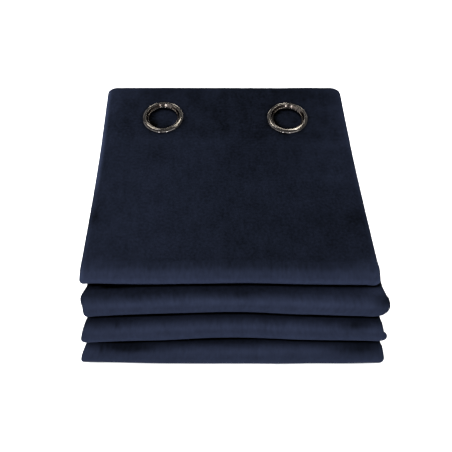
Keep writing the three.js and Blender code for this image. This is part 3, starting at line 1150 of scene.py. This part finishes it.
class CURTAIN_OT_set_eyelets(bpy.types.Operator):
    """Spins the faces and back rings of the eyelets and sets them in the heading"""

    bl_idname = "curtain.set_eyelets"
    bl_label = "Set the eyelets"

    def execute(self, context):
        scene = context.scene
        eyelets = scene.curtain_eyelets
        folded = FoldedCloth(scene.curtain_cloth)
        metal = nickel_finish(eyelets)
        for side in EYELET_PLACES:
            matrix = folded.eyelet_matrix(side)
            profiles = {
                f"eyelet_face_{side}": face_profile(eyelets),
                f"eyelet_back_{side}": back_profile(eyelets, scene.curtain_cloth.thick),
            }
            for node, profile in profiles.items():
                piece = new_object(f"{node}_polished", ring_mesh(profile, eyelets.sides, matrix), metal)
                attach(piece, "root")
                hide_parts(node)
        return {"FINISHED"}


class Card(NamedTuple):
    """A bright card that the polished metal mirrors: place, sides, share of the glow and tint."""

    place: tuple
    sides: tuple
    share: float
    tint: tuple


PACK_MIDDLE = (0.0, 0.0, CAD_BOX[1][2] / 2)
# Place, the point that it looks at, sides and the setting that holds its power.
SOFTBOXES = {
    "overhead_softbox": ((-0.25, -0.1, 1.5), (-0.1, -0.1, 0.0), (2.0, 1.5), "top_power"),
    "left_softbox": ((-1.3, -0.1, 1.0), PACK_MIDDLE, (1.1, 0.45), "key_power"),
    "right_softbox": ((1.3, -0.1, 1.0), PACK_MIDDLE, (1.1, 0.45), "key_power"),
    "front_softbox": ((0.06, -1.9, 0.62), PACK_MIDDLE, (0.3, 0.22), "front_power"),
}
WHITE = (1.0, 1.0, 1.0)
WARM = (1.0, 0.95, 0.87)
COOL = (0.93, 0.93, 1.0)
CARDS = {
    "back_left_card": Card((-0.53, 0.91, 1.44), (0.16, 0.13), 1.6, WARM),
    "back_left_high_card": Card((-0.45, 0.70, 1.51), (0.14, 0.10), 1.9, WARM),
    "back_high_card": Card((0.05, 0.79, 1.56), (0.12, 0.16), 2.2, WARM),
    "back_right_card": Card((0.41, 0.88, 1.48), (0.24, 0.22), 3.3, WARM),
    "back_low_left_card": Card((-0.78, 2.0, 0.36), (0.42, 0.18), 2.2, WARM),
    "back_low_card": Card((0.16, 2.0, 0.40), (0.40, 0.22), 2.6, WARM),
    "back_far_card": Card((0.96, 2.09, 0.55), (0.35, 0.20), 1.2, WARM),
    "overhead_card": Card((-0.47, 0.24, 1.43), (0.26, 0.08), 1.6, COOL),
    "left_strip": Card((-0.78, 0.54, 1.45), (0.14, 0.40), 3.0, WARM),
    "right_strip": Card((0.58, 0.38, 1.45), (0.40, 0.12), 2.2, WARM),
    "front_left_card": Card((-0.76, -1.82, 0.36), (0.24, 0.22), 7.6, COOL),
    "front_right_card": Card((0.50, -1.91, 0.37), (0.16, 0.22), 8.0, COOL),
    "low_left_panel": Card((-1.5, -1.4, 0.40), (1.3, 0.40), 0.40, COOL),
    "front_panel": Card((0.15, -1.95, 1.0), (0.9, 0.6), 0.48, COOL),
    "front_right_panel": Card((1.32, -1.47, 1.07), (1.5, 0.75), 0.40, COOL),
    "left_panel": Card((-1.8, 0.1, 0.35), (1.4, 0.45), 0.34, COOL),
    "back_left_panel": Card((-1.37, 1.64, 0.64), (0.7, 0.5), 0.15, COOL),
    "back_right_panel": Card((1.37, 1.64, 0.64), (0.7, 0.5), 0.15, COOL),
}
IMAGE_PIXELS = 452
SENSOR_MM = 36.0
CAMERA_NEAR = 0.01


def area_light(name, place, target, sides, power, mirrored=False, tint=WHITE):
    """A softbox that looks at a point, and that polished metal mirrors or not."""
    light = bpy.data.lights.new(name, "AREA")
    light.shape = "RECTANGLE"
    light.size, light.size_y = sides
    light.energy = power
    light.color = tint
    lamp = bpy.data.objects.new(name, light)
    lamp.location = place
    lamp.rotation_euler = (Vector(target) - Vector(place)).to_track_quat("-Z", "Y").to_euler()
    lamp.visible_glossy = mirrored
    bpy.context.scene.collection.objects.link(lamp)


class CURTAIN_OT_set_stage(bpy.types.Operator):
    """Lays the pale floor and sets the soft lights and the camera"""

    bl_idname = "curtain.set_stage"
    bl_label = "Set the stage"

    def execute(self, context):
        scene = context.scene
        stage = scene.curtain_stage
        bm = bmesh.new()
        bmesh.ops.create_grid(bm, x_segments=2, y_segments=2, size=stage.floor_side / 2)
        new_object("floor", bm, floor_finish(stage))

        world = bpy.data.worlds.new("soft_surround")
        world.use_nodes = True
        surround = world.node_tree.nodes["Background"]
        surround.inputs["Color"].default_value = (*WHITE, 1.0)
        surround.inputs["Strength"].default_value = stage.surround
        scene.world = world

        for name, (place, target, sides, power) in SOFTBOXES.items():
            area_light(name, place, target, sides, getattr(stage, power))
        for name, card in CARDS.items():
            power = math.pi * card.sides[0] * card.sides[1] * card.share * stage.card_glow
            area_light(name, card.place, PACK_MIDDLE, card.sides, power, mirrored=True, tint=card.tint)

        folded = FoldedCloth(scene.curtain_cloth)
        lens = bpy.data.cameras.new("photo_camera")
        lens.sensor_fit = "HORIZONTAL"
        lens.sensor_width = SENSOR_MM
        lens.lens = SENSOR_MM * stage.focal_pixels / IMAGE_PIXELS
        lens.clip_start = CAMERA_NEAR
        camera = bpy.data.objects.new("photo_camera", lens)
        camera.location = folded.origin + Vector(
            (stage.camera_side, -stage.camera_front, folded.top + stage.camera_height))
        camera.rotation_euler = Euler((math.pi / 2 - stage.pitch, 0.0, 0.0))
        scene.collection.objects.link(camera)
        scene.camera = camera
        scene.view_settings.view_transform = "Standard"
        return {"FINISHED"}


class CURTAIN_PT_sidebar(bpy.types.Panel):
    """Lists the steps and sizes of the folded curtain"""

    bl_idname = "CURTAIN_PT_sidebar"
    bl_label = "Folded curtain"
    bl_space_type = "VIEW_3D"
    bl_region_type = "UI"
    bl_category = "Curtain"

    def draw(self, context):
        for step in STEPS:
            self.layout.operator(step.bl_idname)
        for name in SETTINGS:
            group = getattr(context.scene, name)
            box = self.layout.box()
            for key in group.bl_rna.properties.keys():
                if key not in ("rna_type", "name"):
                    box.prop(group, key)


SETTINGS = {
    "curtain_cloth": ClothSettings,
    "curtain_eyelets": EyeletSettings,
    "curtain_velvet": VelvetSettings,
    "curtain_stage": StageSettings,
}
STEPS = (CURTAIN_OT_fold_cloth, CURTAIN_OT_set_eyelets, CURTAIN_OT_set_stage)
CLASSES = (*SETTINGS.values(), *STEPS, CURTAIN_PT_sidebar)


def register():
    """Adds the classes and the scene's settings."""
    for cls in CLASSES:
        bpy.utils.register_class(cls)
    for name, group in SETTINGS.items():
        setattr(bpy.types.Scene, name, PointerProperty(type=group))


def unregister():
    """Takes the settings and classes away again."""
    for name in SETTINGS:
        delattr(bpy.types.Scene, name)
    for cls in reversed(CLASSES):
        bpy.utils.unregister_class(cls)


def main():
    """Makes the curtain and its stage."""
    register()
    bpy.ops.curtain.fold_cloth()
    bpy.ops.curtain.set_eyelets()
    bpy.ops.curtain.set_stage()


if __name__ == "__main__":
    main()
